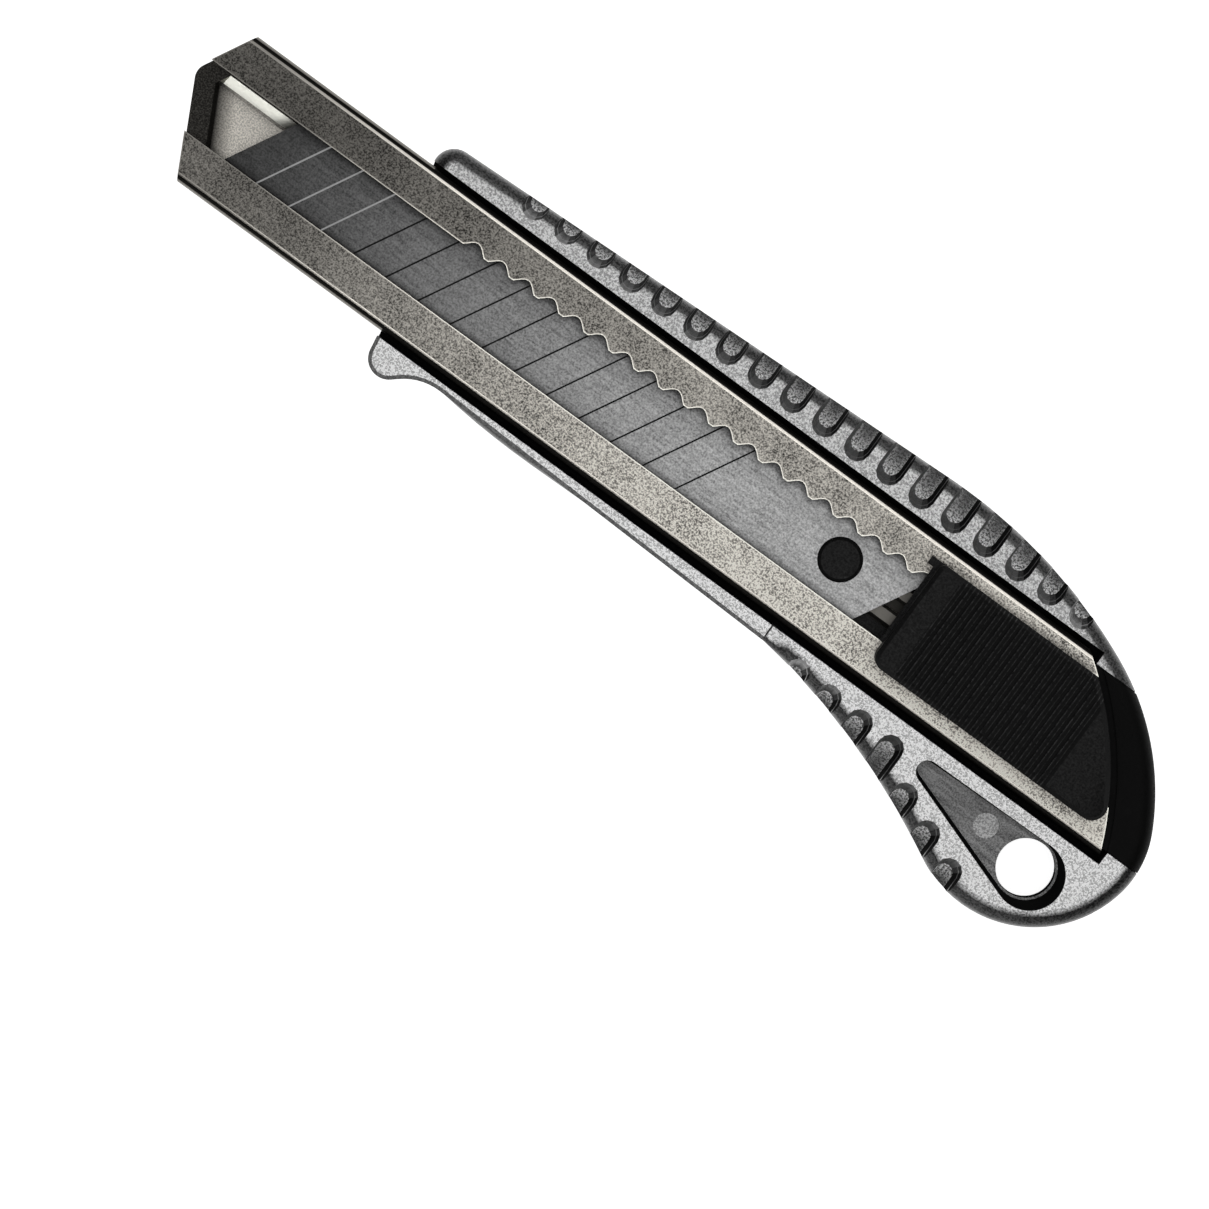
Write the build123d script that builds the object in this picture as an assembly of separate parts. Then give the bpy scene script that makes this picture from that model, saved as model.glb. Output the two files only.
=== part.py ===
from build123d import *
from math import asin, cos, degrees, pi, radians, sin, sqrt, tan
import os

# Snap-off blade utility knife: a die-cast grip, a folded sheet channel that the blade
# slides in, a ribbed thumb slider that locks in wave notches, and a pull-off end cap.
#
# The origin lies on the grip's flat back, under the screw. +X runs forward to the blade
# tip, +Y toward the cutting edge, +Z out of the open side of the channel.
# Lengthwise places are distances behind the channel's nose ("back"), and crosswise
# places are heights above the centre line toward the spine ("up"). All in millimetres.

# ---- channel
SCREW_BACK = 73.0           # channel screw behind the nose
BLADE_SIDE_GAP = 0.6        # blade to the channel's walls
CHANNEL_HEIGHT = 4.6
SHEET = 0.7                 # sheet thickness of the channel
BEND_RADIUS = 1.1           # outside radius of the long folds
LIP_WIDTH = 5.7             # each lip, from the channel's side to the slot
NOSE_APEX_UP = 2.45         # the nose's two cuts meet here
NOSE_CORNER = 0.25          # and this far ahead of the rounded nose
NOSE_SPINE_RAKE = 28.0      # cut angles, from square, in degrees
NOSE_EDGE_RAKE = 27.2
NOSE_ROUND = 2.0
RIB_HEIGHT = 1.1            # pressed floor beads and nose ledges
BEAD_WIDTH = 2.2
BEAD_SPACING = 3.5
BEAD_CROWN = 0.4
BEAD_FRONT_BACK = 27.0
BEAD_STOP = 0.6             # beads end this far from the dimple
BEAD_REAR_SETBACK = 15.0
TRAY_SPINE = 2.6            # sunk tray's spine side, from the centre line
TRAY_EDGE_WALL = 3.3        # channel's side to the tray, on the edge side
TRAY_SIDE_SLOPE = 1.8       # widths of its slopes
TRAY_FRONT_SLOPE = 0.5
LEDGE_LENGTH = 22.0
NOSE_RIM = 2.95             # nose cuts to the tray
DIMPLE_DEPTH = 1.2          # sunk seat of the channel screw
DIMPLE_RADIUS = 4.7

# ---- lock notches
NOTCH_PITCH = 3.876
NOTCH_STEPS = 23            # pitches from retracted to fully out
NOTCH_DEPTH = 1.1
NOTCH_MOUTH = 3.2
NOTCH_FULLNESS = 1.2        # power of the sine that draws each notch
NOTCH_FLATS = 8

# ---- blade
BLADE_WIDTH = 18.0
BLADE_THICKNESS = 0.5
BLADE_LENGTH = 97.7
BLADE_RAKE = 28.2           # slant of both ends and of the score lines, from square
BLADE_SETBACK = 11.9        # front end behind the nose, on the centre line
BLADE_BEVEL = 2.1
EDGE_FLAT = 0.06            # thickness left at the very edge
SCORE_PITCH = 5.0
SCORE_COUNT = 14
SCORE_WIDTH = 0.22
SCORE_DEPTH = 0.12
BLADE_HOLE_RADIUS = 2.9
BLADE_HOLE_SETBACK = 8.1    # hole ahead of the blade's tail
BLADE_HOLE_UP = 0.6
TIP_NICK_RADIUS = 1.5

# ---- slider
SLIDE_CLEARANCE = 0.1
SIDE_CLEARANCE = 0.25
BLADE_CLEARANCE = 0.5       # under the lips
BUTTON_SETBACK = 2.2        # button front behind the blade's tail
BUTTON_LENGTH = 31.9        # on the centre line
BUTTON_SPINE_INSET = 2.4    # button's sides in from the channel's
BUTTON_EDGE_INSET = 2.9
BUTTON_LIFT = 0.3           # over the lips
BUTTON_HEIGHT = 4.4
BUTTON_DISH = 0.7
BUTTON_TAIL_DROP = 2.2
BUTTON_TAIL_RUN = 9.0
BUTTON_EDGE = 0.55
GRIP_RIB_PITCH = 1.17
GRIP_RIB_COUNT = 20
GRIP_RIB_WIDTH = 0.62
GRIP_RIB_HEIGHT = 0.35
GRIP_RIB_START = 3.4
CORNER_FRONT_SPINE = 0.9    # corner rounds of the button
CORNER_FRONT_EDGE = 1.7
CORNER_REAR_SPINE = 1.5
CORNER_REAR_EDGE = 2.0
FLANGE_ROOT = 2.0
FLANGE_STEP = 0.45          # thin foot that shows ahead of the button
FLANGE_THICKNESS = 0.9
FINGER_REACH = 0.9          # small finger at the foot's spine-side corner
FINGER_WIDTH = 1.1
TONGUE_LENGTH = 4.2         # carrier ahead of the blade hole
CARRIER_WINDOW = 6.0
PEG_TOP = 0.35              # blade peg above the blade
PEG_CLEARANCE = 0.1
NECK_START = 5.2            # neck behind the button's front
NECK_KEY = 1.5              # neck reach into the button
NECK_FIT = 0.15
BUTTON_WALL = 2.0           # button material behind the neck
BUTTON_DISH_LENGTH = 27.0
RIB_MARGIN = 1.0
TONGUE_GAP = 0.4            # carrier to the cap's tongue
TOOTH_SETBACK = 18.85       # lock tooth behind the button's front
SPRING_THICKNESS = 0.4
SPRING_HEIGHT = 1.5
SPRING_REACH = 11.0         # from anchor to tooth
SPRING_TAIL = 2.6
SPRING_GRIP = 2.5
SPRING_ANCHOR_INSET = 2.0   # from the slot's spine-side edge
SPRING_TOP_GAP = 0.15
SPRING_ROOM = 0.3           # free space round the leaf
SPRING_SWING = 1.2          # and where it bends away from the notches
TOOTH_TIP = 0.35            # half width at the tip
TOOTH_FRONT = 1.9           # slopes to the arm ahead and behind
TOOTH_REAR = 1.5
TOOTH_CLEARANCE = 0.2

# ---- grip
HANDLE_THICKNESS = 11.5
CHANNEL_PROUD = 0.5         # lips above the grip's face
CHANNEL_GAP = 0.5           # beside the channel, on the spine side
CHANNEL_GAP_EDGE = 0.8
HANDLE_FRONT = 29.5
HANDLE_EDGE_ROUND = 2.2     # front edges; the back's are broken flat
BACK_EDGE_BREAK = 1.3
GRIP_NOSE_ROUND = 2.8
FRONT_WALL = 3.1            # spine wall beside the channel, at the front
SPINE_RISE = 2.3            # slope of the straight spine, in degrees
TAIL_START = 37.1           # curved tail begins this far ahead of the button's rear
SHOULDER_RADIUS = 70.3      # tail arcs in order, with their turns in degrees
SHOULDER_TURN = 25.7
CROWN_RADIUS = 33.7
CROWN_TURN = 38.9
HEEL_RADIUS = 13.3
HEEL_TURN = 39.6
POMMEL_RADIUS = 15.8
POMMEL_TURN = 105.7
HOLLOW_RADIUS = 98.5        # finger hollow, curving the other way
HOLLOW_TURN = 28.6
BELLY_SHORTER = 55.5        # straight belly against the straight spine
BELLY_RADIUS = 108.0
BELLY_TURN = 13.1
GUARD_FRONT = 7.9           # guard's places behind the front end, and their drops below the slot
GUARD_TIP_BACK = 9.5
GUARD_TIP_DROP = 6.9
GUARD_TIP_ROUND = 2.65
GUARD_BLEND_BACK = 16.0
GUARD_BLEND_DROP = 1.2
GUARD_BLEND = 7.5
GUARD_ROOT = 3.0            # guard and rail reach this far into the grip
RAIL_END = 43.7             # rail's rear end ahead of the button's rear
RAIL_DROP = 2.55
RAIL_EDGE_BREAK = 0.5
GROOVE_MOUTH = 3.5
GROOVE_FLOOR = 2.3
GROOVE_END_SLOPE = 1.3      # slope of the round end, wider than the sides'
GROOVE_REACH = 9.0
GROOVE_FLATS = 6
WEB_THICKNESS = 2.4         # middle web between the front and back pockets
SPINE_GROOVES = 18
SPINE_GROOVE_START = 15.0   # behind the grip's front
SPINE_GROOVE_END = 13.5     # ahead of the button's rear
SPINE_LAND = 1.15           # flat left between slot and groove, at the front
SPINE_LAND_END = 0.35
BELLY_GROOVES = 4
BELLY_GROOVE_START = 38.2   # ahead of the button's rear
BELLY_LAND = 1.5            # flat left beside the slot at the first belly groove
BELLY_LAND_STEP = 0.25      # and what each one behind it adds
RECESS_GROOVES = 3          # grooves that go on below the teardrop recess
RECESS_LAND = 6.05
RECESS_LAND_STEP = 2.2
LANYARD_RADIUS = 3.8
LANYARD_OFFSET = 6.3        # beyond the channel slot
LANYARD_BEHIND = 0.1        # behind the button's rear
RECESS_RIM = 0.3            # floor left round the hole
RECESS_RADIUS = 4.55        # recess's big end at the face
RECESS_BACK = 0.45          # its centre from the hole's
RECESS_DROP = 0.2
RECESS_LENGTH = 17.6        # from hole to the recess's small end
RECESS_END_RADIUS = 1.5
RECESS_END_FLOOR = 1.1
RECESS_RISE = 2.65
PIN_MARK_AHEAD = 7.2        # ejector pin's mark, from the hole
PIN_MARK_RISE = 1.35
PIN_MARK_RADIUS = 1.65
PIN_MARK_DEPTH = 0.2
SCREW_CUP_GAP = 0.2         # round the channel's dimple
PILOT_SPARE = 0.5           # pilot hole beyond the screw

# ---- end cap
REAR_RADIUS = 45.2          # curve of the cap's front edge
REAR_CENTRE_UP = -26.8
CAP_TO_CHANNEL = 0.9
CAP_TO_BUTTON = 1.2
CAP_TO_LIPS = 1.5           # lips end here where the button covers them
CAP_SPINE_INSET = 1.2       # cap's seat walls in from the channel's sides
CAP_EDGE_INSET = 1.0
CAP_FIT = 0.12
CAP_TONGUE = 3.0
CAP_TONGUE_FIT = 0.12
CAP_TONGUE_ROOT = 0.5       # tongue's hold inside the cap
CAP_SPINE_START = 8.5       # seat on the spine side begins ahead of the button's rear
CAP_EDGE_START = 6.8        # and behind it on the edge side

# ---- screw
SCREW_RADIUS = 2.0
SCREW_LENGTH = 4.5
SCREW_HEAD_RADIUS = 3.25
SCREW_HEAD_HEIGHT = 2.0
SCREW_HEAD_BREAK = 0.6
SCREW_TIP_BREAK = 0.5
SCREW_HOLE_FIT = 0.05
SCREW_SHEET_FIT = 0.2
CROSS_WIDTH = 0.9
CROSS_LENGTH = 3.6
CROSS_DEPTH = 1.1

# ---- levels and places worked out from the sizes above
CHANNEL_WIDTH = BLADE_WIDTH + 2 * (BLADE_SIDE_GAP + SHEET)
LIP_SLOT = CHANNEL_WIDTH - 2 * LIP_WIDTH
TRAY_EDGE = CHANNEL_WIDTH / 2 - TRAY_EDGE_WALL
BUTTON_SPINE_UP = CHANNEL_WIDTH / 2 - BUTTON_SPINE_INSET
BUTTON_EDGE_UP = CHANNEL_WIDTH / 2 - BUTTON_EDGE_INSET
CAP_SEAT_SPINE = CHANNEL_WIDTH / 2 - CAP_SPINE_INSET
CAP_SEAT_EDGE = CHANNEL_WIDTH / 2 - CAP_EDGE_INSET
SPRING_ANCHOR_UP = LIP_SLOT / 2 - SPRING_ANCHOR_INSET
FACE = HANDLE_THICKNESS
LIP_TOP = FACE + CHANNEL_PROUD
LIP_UNDER = LIP_TOP - SHEET
POCKET = LIP_TOP - CHANNEL_HEIGHT
FLOOR = POCKET + SHEET
RIB_TOP = FLOOR + RIB_HEIGHT
CARRIER_UNDER = RIB_TOP + SLIDE_CLEARANCE
BLADE_TOP = LIP_UNDER - BLADE_CLEARANCE
BLADE_UNDER = BLADE_TOP - BLADE_THICKNESS
BUTTON_UNDER = LIP_TOP + BUTTON_LIFT
INNER_HALF = CHANNEL_WIDTH / 2 - SHEET
SLOT_HALF = CHANNEL_WIDTH / 2 + CHANNEL_GAP
SLOT_EDGE = CHANNEL_WIDTH / 2 + CHANNEL_GAP_EDGE
BLADE_TAIL = BLADE_SETBACK + BLADE_LENGTH
BUTTON_FRONT = BLADE_TAIL + BUTTON_SETBACK
BUTTON_REAR = BUTTON_FRONT + BUTTON_LENGTH
TOOTH_BACK = BUTTON_FRONT + TOOTH_SETBACK
BUTTON_ARC = REAR_RADIUS - CAP_TO_BUTTON
REAR_CENTRE_BACK = BUTTON_REAR - sqrt(BUTTON_ARC**2 - REAR_CENTRE_UP**2)
PEG_BACK = BLADE_TAIL - BLADE_HOLE_SETBACK
LANYARD_BACK = BUTTON_REAR + LANYARD_BEHIND
LANYARD_UP = -(SLOT_HALF + LANYARD_OFFSET)
WEB_TOP = (FACE + WEB_THICKNESS) / 2
SPINE_STRAIGHT = (BUTTON_REAR - TAIL_START - HANDLE_FRONT) / cos(radians(SPINE_RISE))
GROOVE_SPAN = BUTTON_REAR - SPINE_GROOVE_END - HANDLE_FRONT - SPINE_GROOVE_START
GROOVE_PITCH = GROOVE_SPAN / (SPINE_GROOVES - 1)
FAR = 60.0                  # reach of cutting solids past the part
TINY = 0.01


def at(back, up):
    """Plan point from its distance behind the nose and its height toward the spine."""
    return (SCREW_BACK - back, -up)


def slab(face, low, high):
    """Straight prism of a plan face between two levels."""
    return Pos(0, 0, low) * extrude(face, high - low, dir=(0, 0, 1))


def band(back_from, back_to, up_from, up_to, low, high):
    """Rectangular block given by its ranges."""
    corners = [at(back_from, up_from), at(back_to, up_from), at(back_to, up_to), at(back_from, up_to)]
    return slab(make_face(Polyline(*corners, close=True)), low, high)


def rear_disc(radius, low, high):
    """Everything ahead of a curve concentric with the cap's front edge."""
    centre = at(REAR_CENTRE_BACK, REAR_CENTRE_UP)
    return slab(Pos(*centre) * Circle(radius), low, high)


def mirrored_levels(solid):
    """The same shape upside down about the grip's middle plane."""
    return mirror(solid, Plane.XY.offset(FACE / 2))


# ------------------------------------------------------------------ grip casting

def over_slot(wall):
    return SLOT_HALF + wall


def heading_line(place, heading, length):
    """Straight stretch from a place, in a direction given in degrees."""
    end = place + length * Vector(cos(radians(heading)), sin(radians(heading)))
    return Line(place, end)


def grip_outline():
    """Grip seen from the front: spine, rounded tail, belly and slanted front end."""
    front_high = Vector(*at(HANDLE_FRONT, over_slot(FRONT_WALL)))
    heading = SPINE_RISE - 180
    spine = heading_line(front_high, heading, SPINE_STRAIGHT)
    curve = [spine]
    tail = [
        (SHOULDER_RADIUS, SHOULDER_TURN),
        (CROWN_RADIUS, CROWN_TURN),
        (HEEL_RADIUS, HEEL_TURN),
        (POMMEL_RADIUS, POMMEL_TURN),
        (HOLLOW_RADIUS, -HOLLOW_TURN),
    ]
    for radius, turn in tail:
        tangent = (cos(radians(heading)), sin(radians(heading)))
        curve.append(JernArc(curve[-1] @ 1, tangent, radius, -turn))
        heading -= turn
    belly = heading_line(curve[-1] @ 1, heading, SPINE_STRAIGHT - BELLY_SHORTER)
    tangent = (cos(radians(heading)), sin(radians(heading)))
    front_low = JernArc(belly @ 1, tangent, BELLY_RADIUS, -BELLY_TURN)
    face = Face(Wire([*curve, belly, front_low, Line(front_low @ 1, front_high)]))
    nose_corner = face.vertices().sort_by_distance(Vertex(*front_high))[0]
    return fillet(nose_corner, GRIP_NOSE_ROUND)


def guard_outline():
    """Finger guard and the thin belly rail behind it."""
    tip = at(HANDLE_FRONT + GUARD_TIP_BACK, -over_slot(GUARD_TIP_DROP))
    blend = at(HANDLE_FRONT + GUARD_BLEND_BACK, -over_slot(GUARD_BLEND_DROP))
    corners = [
        at(HANDLE_FRONT + GUARD_FRONT, -over_slot(-GUARD_ROOT)),
        tip,
        blend,
        at(BUTTON_REAR - RAIL_END, -over_slot(RAIL_DROP)),
        at(BUTTON_REAR - RAIL_END, -over_slot(-GUARD_ROOT)),
    ]
    face = make_face(Polyline(*corners, close=True))
    for corner, radius in ((tip, GUARD_TIP_ROUND), (blend, GUARD_BLEND)):
        face = fillet(face.vertices().sort_by_distance(Vertex(*corner))[0], radius)
    return face


def grip_body():
    """Grip before any pocket is cut."""
    grip = slab(grip_outline(), 0, FACE)
    grip = chamfer(grip.faces().sort_by(Axis.Z)[0].edges(), BACK_EDGE_BREAK)
    grip = fillet(grip.faces().sort_by(Axis.Z)[-1].edges(), HANDLE_EDGE_ROUND)
    guard = slab(guard_outline(), 0, FACE)
    return grip + chamfer(guard.faces().filter_by(Axis.Z).edges(), RAIL_EDGE_BREAK)


def channel_pocket():
    """Slot for the channel and, behind it, the seat of the end cap."""
    plan = make_face(
        Polyline(
            at(-FAR, SLOT_HALF),
            at(BUTTON_REAR - CAP_SPINE_START, SLOT_HALF),
            at(BUTTON_REAR - CAP_SPINE_START, CAP_SEAT_SPINE),
            at(BUTTON_REAR + FAR, CAP_SEAT_SPINE),
            at(BUTTON_REAR + FAR, -CAP_SEAT_EDGE),
            at(BUTTON_REAR + CAP_EDGE_START, -CAP_SEAT_EDGE),
            at(BUTTON_REAR + CAP_EDGE_START, -SLOT_EDGE),
            at(-FAR, -SLOT_EDGE),
            close=True,
        )
    )
    return slab(plan, POCKET, FACE + FAR)


def groove_section(back, up, outward, width):
    """U-shaped plan of a grip groove, open toward the grip's edge, its round end in short flats."""
    half = width / 2
    centre = up + outward * half
    end = centre + outward * GROOVE_REACH
    turns = [pi * step / GROOVE_FLATS for step in range(GROOVE_FLATS + 1)]
    bottom = [at(back - half * cos(turn), centre - outward * half * sin(turn)) for turn in turns]
    return make_face(Polyline(at(back - half, end), *bottom, at(back + half, end), close=True))


def groove(back, up, outward):
    """One drafted grip groove, from the front face down to the middle web."""
    mouth = groove_section(back, up, outward, GROOVE_MOUTH)
    floor = groove_section(back, up + outward * GROOVE_END_SLOPE, outward, GROOVE_FLOOR)
    return loft([Pos(0, 0, FACE) * mouth, Pos(0, 0, WEB_TOP) * floor], ruled=True)


def grip_grooves():
    cuts = []
    for index in range(SPINE_GROOVES):
        share = index / (SPINE_GROOVES - 1)
        land = SPINE_LAND + (SPINE_LAND_END - SPINE_LAND) * share
        back = HANDLE_FRONT + SPINE_GROOVE_START + GROOVE_PITCH * index
        cuts.append(groove(back, over_slot(land), 1))
    lands = [BELLY_LAND + BELLY_LAND_STEP * index for index in range(BELLY_GROOVES)]
    lands += [RECESS_LAND + RECESS_LAND_STEP * index for index in range(RECESS_GROOVES)]
    for index, land in enumerate(lands):
        back = BUTTON_REAR - BELLY_GROOVE_START + GROOVE_PITCH * index
        cuts.append(groove(back, -over_slot(land), -1))
    return cuts


def teardrop(big_back, big_up, big_radius, small_radius):
    """Plan of the lanyard recess: a hull round its big end and its small end."""
    big = Pos(*at(big_back, big_up)) * Circle(big_radius)
    small_centre = at(LANYARD_BACK - RECESS_LENGTH, LANYARD_UP + RECESS_RISE)
    small = Pos(*small_centre) * Circle(small_radius)
    return make_hull(big.edges() + small.edges())


def lanyard_recess():
    """Drafted teardrop pocket whose floor ends in a narrow rim round the lanyard hole."""
    mouth = teardrop(LANYARD_BACK + RECESS_BACK, LANYARD_UP - RECESS_DROP, RECESS_RADIUS, RECESS_END_RADIUS)
    floor = teardrop(LANYARD_BACK, LANYARD_UP, LANYARD_RADIUS + RECESS_RIM, RECESS_END_FLOOR)
    pocket = loft([Pos(0, 0, FACE) * mouth, Pos(0, 0, WEB_TOP) * floor], ruled=True)
    mark = Pos(*at(LANYARD_BACK - PIN_MARK_AHEAD, LANYARD_UP + PIN_MARK_RISE)) * Circle(PIN_MARK_RADIUS)
    return pocket + slab(mark, WEB_TOP - PIN_MARK_DEPTH, FACE)


def lanyard_hole():
    return slab(Pos(*at(LANYARD_BACK, LANYARD_UP)) * Circle(LANYARD_RADIUS), -FAR, FACE + FAR)


def screw_seat():
    """Counterbore for the channel's dimple and the pilot hole below it."""
    cup = slab(Circle(DIMPLE_RADIUS + SHEET + SCREW_CUP_GAP), POCKET - DIMPLE_DEPTH, POCKET)
    pilot_depth = SCREW_LENGTH + PILOT_SPARE
    pilot = slab(Circle(SCREW_RADIUS + SCREW_HOLE_FIT), FLOOR - DIMPLE_DEPTH - pilot_depth, POCKET)
    return cup + pilot


def handle_casting(body):
    casting = body - channel_pocket() - screw_seat()
    for cut in grip_grooves():
        casting = casting - cut - mirrored_levels(cut)
    recess = lanyard_recess()
    casting = casting - recess - mirrored_levels(recess) - lanyard_hole()
    return casting


# ------------------------------------------------------------------ channel

def nose_outline():
    """Plan region behind the nose's two slanted cuts."""
    apex = at(-NOSE_CORNER, NOSE_APEX_UP)
    spine_run = FAR * tan(radians(NOSE_SPINE_RAKE)) - NOSE_CORNER
    edge_run = FAR * tan(radians(NOSE_EDGE_RAKE)) - NOSE_CORNER
    corners = [
        apex,
        at(spine_run, NOSE_APEX_UP + FAR),
        at(BUTTON_REAR + FAR, NOSE_APEX_UP + FAR),
        at(BUTTON_REAR + FAR, NOSE_APEX_UP - FAR),
        at(edge_run, NOSE_APEX_UP - FAR),
    ]
    face = make_face(Polyline(*corners, close=True))
    tip = face.vertices().sort_by(Axis.X)[-1]
    return fillet(tip, NOSE_ROUND)


def channel_shell():
    """Folded section: floor, walls and two lips, as one sheet."""
    length = BUTTON_REAR + 2 * FAR
    centre = Pos(SCREW_BACK + FAR - length, 0, POCKET + CHANNEL_HEIGHT / 2)
    outer = RectangleRounded(CHANNEL_WIDTH, CHANNEL_HEIGHT, BEND_RADIUS)
    inner = RectangleRounded(CHANNEL_WIDTH - 2 * SHEET, CHANNEL_HEIGHT - 2 * SHEET, BEND_RADIUS - SHEET)
    return centre * extrude(Plane.YZ * (outer - inner), length)


def lip_gap():
    """Open slot between the lips, with the wave notches on its spine side."""
    half = LIP_SLOT / 2
    wave = []
    for step in range(NOTCH_STEPS, -1, -1):
        middle = TOOTH_BACK - NOTCH_PITCH * step
        for flat in range(NOTCH_FLATS + 1):
            along = flat / NOTCH_FLATS
            rise = NOTCH_DEPTH * sin(pi * along) ** NOTCH_FULLNESS
            wave.append(at(middle + NOTCH_MOUTH * (along - 0.5), half + rise))
    front = [at(-FAR, -half), at(-FAR, half)]
    rear = [at(BUTTON_REAR + FAR, half), at(BUTTON_REAR + FAR, -half)]
    gap = make_face(Polyline(*front, *wave, *rear, close=True))
    return slab(gap, LIP_UNDER - SHEET / 2, LIP_TOP + FAR)


def floor_bead(back_from, back_to, up):
    """Pressed bead along the floor with round ends and a soft top."""
    length = back_to - back_from
    middle = at((back_from + back_to) / 2, up)
    bead = slab(Pos(*middle) * SlotOverall(length, BEAD_WIDTH), FLOOR - SHEET / 2, RIB_TOP)
    crown = bead.faces().sort_by(Axis.Z)[-1].edges()
    return chamfer(crown, BEAD_CROWN)


def tray_outline(rim, side_slope):
    """Outline of the sunk tray, parallel to the nose's cuts in front and open behind."""
    spine_side = TRAY_SPINE + side_slope
    edge_side = TRAY_EDGE + side_slope
    spine_rake = radians(NOSE_SPINE_RAKE)
    edge_rake = radians(NOSE_EDGE_RAKE)
    corners = [
        at(rim / cos(edge_rake), NOSE_APEX_UP),
        at(rim / cos(spine_rake) + (spine_side - NOSE_APEX_UP) * tan(spine_rake), spine_side),
        at(LEDGE_LENGTH + FAR, spine_side),
        at(LEDGE_LENGTH + FAR, -edge_side),
        at(rim / cos(edge_rake) + (edge_side + NOSE_APEX_UP) * tan(edge_rake), -edge_side),
    ]
    return make_face(Polyline(*corners, close=True))


def nose_ledges():
    """Raised rim and side ledges round the sunk tray at the nose."""
    side = INNER_HALF + SHEET / 2
    field = band(-FAR, LEDGE_LENGTH, side, -side, FLOOR - SHEET / 2, RIB_TOP)
    bottom = Pos(0, 0, FLOOR) * tray_outline(NOSE_RIM, 0.0)
    top = Pos(0, 0, RIB_TOP) * tray_outline(NOSE_RIM - TRAY_FRONT_SLOPE, TRAY_SIDE_SLOPE)
    return field - loft([bottom, top], ruled=True)


def floor_beads():
    """Two beads along the floor, interrupted by the screw's dimple."""
    beads = Part()
    clear = DIMPLE_RADIUS + BEAD_STOP
    for up in (-BEAD_SPACING / 2, BEAD_SPACING / 2):
        beads += floor_bead(BEAD_FRONT_BACK, SCREW_BACK - clear, up)
        beads += floor_bead(SCREW_BACK + clear, BUTTON_REAR - BEAD_REAR_SETBACK, up)
    return beads


def blade_channel():
    """Folded channel with its pressed floor, screw dimple, slanted nose and curved rear end."""
    shell = channel_shell() - lip_gap() + nose_ledges() + floor_beads()
    shell += slab(Circle(DIMPLE_RADIUS + SHEET), POCKET - DIMPLE_DEPTH, FLOOR)
    shell -= slab(Circle(DIMPLE_RADIUS), FLOOR - DIMPLE_DEPTH, FLOOR + RIB_HEIGHT)
    shell -= slab(Circle(SCREW_RADIUS + SCREW_SHEET_FIT), -FAR, FLOOR)
    shell = shell & slab(nose_outline(), -FAR, FACE + FAR)
    ahead = band(-FAR, REAR_CENTRE_BACK, FAR, -FAR, -FAR, FACE + FAR)
    end = rear_disc(REAR_RADIUS - CAP_TO_CHANNEL, -FAR, FACE + FAR)
    shell = shell & (ahead + end)
    covered = band(REAR_CENTRE_BACK, BUTTON_REAR + FAR, BUTTON_SPINE_UP, 0, LIP_UNDER - TINY, FACE + FAR)
    return shell - (covered - rear_disc(REAR_RADIUS - CAP_TO_LIPS, -FAR, 2 * FAR))


# ------------------------------------------------------------------ screw

def channel_screw():
    """Pan-head cross-recess screw that holds the channel to the grip."""
    seat = FLOOR - DIMPLE_DEPTH
    head = slab(Circle(SCREW_HEAD_RADIUS), seat, seat + SCREW_HEAD_HEIGHT)
    head = chamfer(head.faces().sort_by(Axis.Z)[-1].edges(), SCREW_HEAD_BREAK)
    shank = slab(Circle(SCREW_RADIUS), seat - SCREW_LENGTH, seat)
    shank = chamfer(shank.faces().sort_by(Axis.Z)[0].edges(), SCREW_TIP_BREAK)
    top = seat + SCREW_HEAD_HEIGHT
    across = slab(Rectangle(CROSS_LENGTH, CROSS_WIDTH), top - CROSS_DEPTH, top)
    along = slab(Rectangle(CROSS_WIDTH, CROSS_LENGTH), top - CROSS_DEPTH, top)
    return head + shank - across - along


# ------------------------------------------------------------------ blade

def blade_end(setback, up):
    """Distance behind the nose of a slanted blade line at a given height."""
    return setback + up * tan(radians(BLADE_RAKE))


def slanted_strip(setback, width, up_from, up_to):
    """Plan strip parallel to the blade's ends."""
    step = width / cos(radians(BLADE_RAKE)) / 2
    corners = [
        at(blade_end(setback - step, up_from), up_from),
        at(blade_end(setback + step, up_from), up_from),
        at(blade_end(setback + step, up_to), up_to),
        at(blade_end(setback - step, up_to), up_to),
    ]
    return make_face(Polyline(*corners, close=True))


def snap_blade():
    """Snap-off blade: bevelled strip, slanted ends, score lines, peg hole and front nick."""
    half = BLADE_WIDTH / 2
    middle = (BLADE_TOP + BLADE_UNDER) / 2
    bevel_start = half - BLADE_BEVEL
    section = Polyline(
        (0, -half, BLADE_UNDER),
        (0, bevel_start, BLADE_UNDER),
        (0, half, middle - EDGE_FLAT / 2),
        (0, half, middle + EDGE_FLAT / 2),
        (0, bevel_start, BLADE_TOP),
        (0, -half, BLADE_TOP),
        close=True,
    )
    strip = extrude(make_face(section), BLADE_LENGTH + FAR, dir=(-1, 0, 0))
    strip = Pos(SCREW_BACK, 0, 0) * strip
    middle_setback = BLADE_SETBACK + BLADE_LENGTH / 2
    width = BLADE_LENGTH * cos(radians(BLADE_RAKE))
    trim = slanted_strip(middle_setback, width, 2 * half, -2 * half)
    blade = strip & slab(trim, BLADE_UNDER, BLADE_TOP)
    for index in range(SCORE_COUNT):
        line = slanted_strip(BLADE_SETBACK + SCORE_PITCH * (index + 1), SCORE_WIDTH, half, -bevel_start)
        blade -= slab(line, BLADE_TOP - SCORE_DEPTH, BLADE_TOP)
    blade -= slab(Pos(*at(PEG_BACK, BLADE_HOLE_UP)) * Circle(BLADE_HOLE_RADIUS), BLADE_UNDER, BLADE_TOP)
    corner = at(blade_end(BLADE_SETBACK, half), half)
    blade -= slab(Pos(*corner) * Circle(TIP_NICK_RADIUS), BLADE_UNDER, BLADE_TOP)
    return blade


# ------------------------------------------------------------------ slider

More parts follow.
